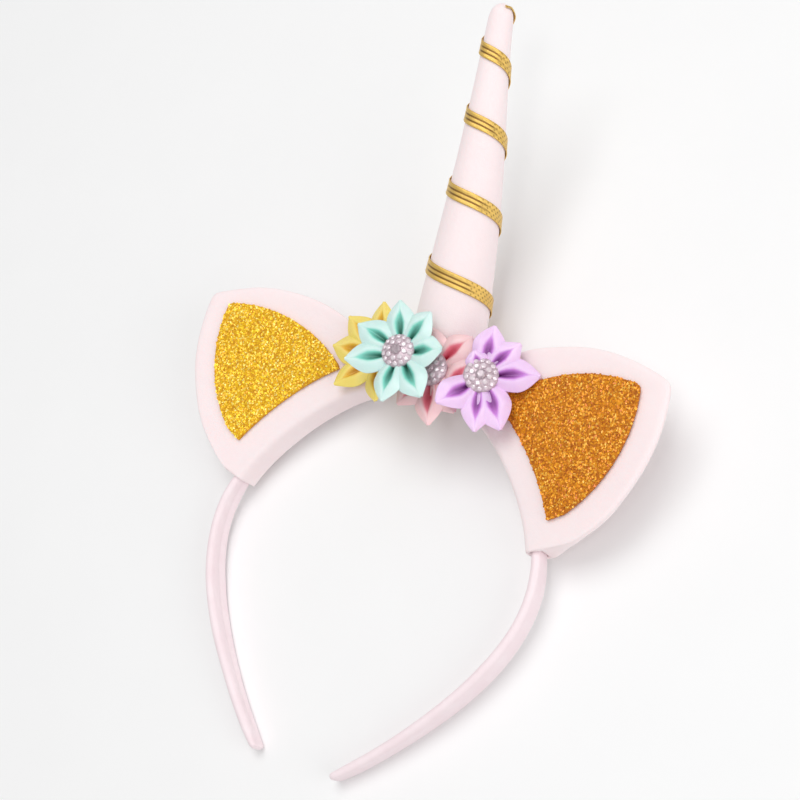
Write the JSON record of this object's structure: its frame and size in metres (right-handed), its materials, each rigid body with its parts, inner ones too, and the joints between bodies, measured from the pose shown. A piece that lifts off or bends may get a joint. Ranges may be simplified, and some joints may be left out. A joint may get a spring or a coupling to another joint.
{
  "type": "unicorn horn headband",
  "caption": "Hair band with felt ears, glitter panels, a stuffed horn wound with metallic ribbon, and folded-ribbon flowers with stone centres.",
  "frame": {"origin": "foot of the middle of the bounding box, on the surface that the headband lies on", "axes": "the headband lies on its back: +Y runs from the band's tips to the horn's tip, +Z out of the front where the flowers are, +X to the ear with the orange-gold panel"},
  "size_m": [0.1826, 0.2524, 0.0624],
  "materials": {
    "felt": "pale pink wool-look felt",
    "band_cover": "moulded band under a thin pale pink cover",
    "glitter_yellow": "coarse yellow-gold glitter on a backing sheet",
    "glitter_orange": "coarse orange-gold glitter on a backing sheet",
    "metallic_ribbon": "woven metallic gold ribbon",
    "satin_yellow": "yellow satin ribbon",
    "satin_pink": "coral pink satin ribbon",
    "satin_mint": "mint satin ribbon",
    "satin_lilac": "lilac satin ribbon",
    "stones": "foil-backed cut stones, silvery with a pink tint"
  },
  "bodies": {
    "root": {"band": "band_cover", "ear_felt_left": "felt", "ear_felt_right": "felt", "ear_glitter_left": "glitter_yellow", "ear_glitter_right": "glitter_orange", "horn": "felt", "horn_ribbon": "metallic_ribbon", "flower_yellow": "satin_yellow", "stones_yellow": "stones", "flower_pink": "satin_pink", "stones_pink": "stones", "flower_mint": "satin_mint", "stones_mint": "stones", "flower_lilac": "satin_lilac", "stones_lilac": "stones"}
  },
  "joints": []
}
